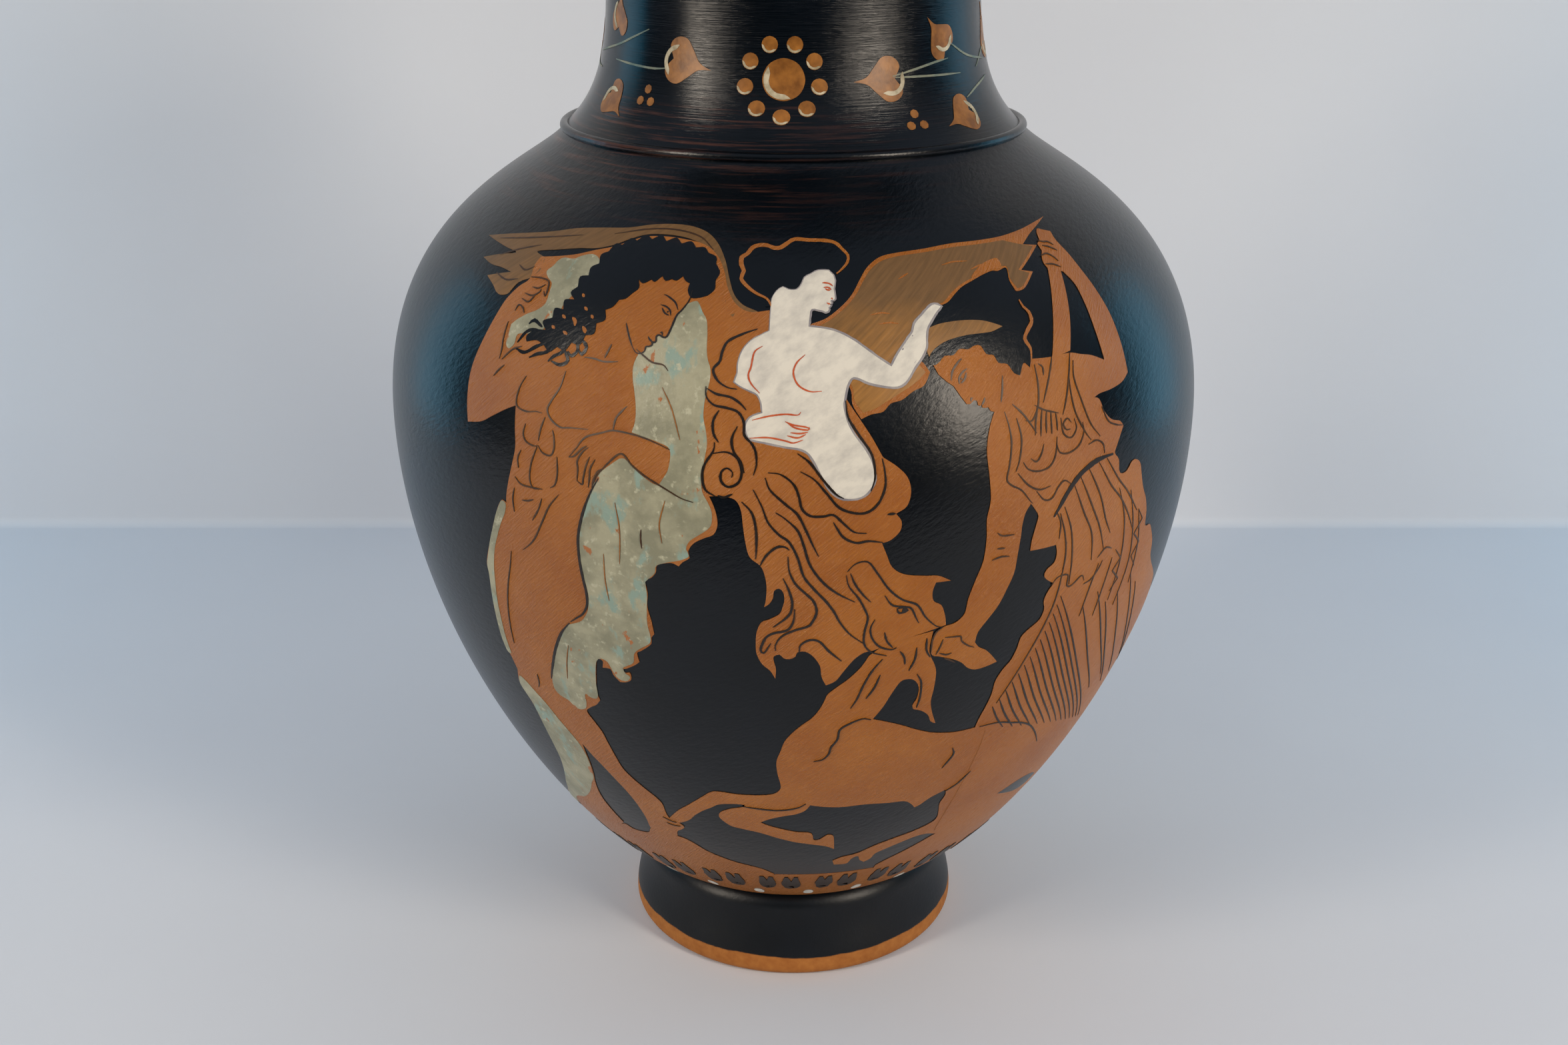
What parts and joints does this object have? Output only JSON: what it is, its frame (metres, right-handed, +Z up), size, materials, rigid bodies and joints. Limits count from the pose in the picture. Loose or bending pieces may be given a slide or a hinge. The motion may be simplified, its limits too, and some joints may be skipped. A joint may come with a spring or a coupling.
{
  "type": "amphora",
  "caption": "Wheel-thrown amphora with an egg-shaped belly, concave neck, flaring mouth, ring foot and two ear handles, gloss slip with painted figures.",
  "frame": {"origin": "centre of the face that the foot stands on", "axes": "+Z up along the pot's axis of turning, +X towards the right handle, -Y towards the painted front"},
  "size_m": [0.2348, 0.2348, 0.36],
  "materials": {
    "gloss_slip": "satin-gloss black slip, worn reddish on edges",
    "bare_clay": "bare orange fired clay",
    "orange_slip": "brushed orange ochre slip",
    "white_slip": "chalky white slip",
    "olive_slip": "mottled grey-green slip",
    "line_slip": "thin brushed dark lines"
  },
  "bodies": {
    "root": {"belly": "gloss_slip", "foot": "gloss_slip", "neck": "gloss_slip", "mouth_ring": "gloss_slip", "neck_bead": "gloss_slip", "foot_bead": "gloss_slip", "left_handle": "gloss_slip", "right_handle": "gloss_slip"}
  },
  "joints": []
}
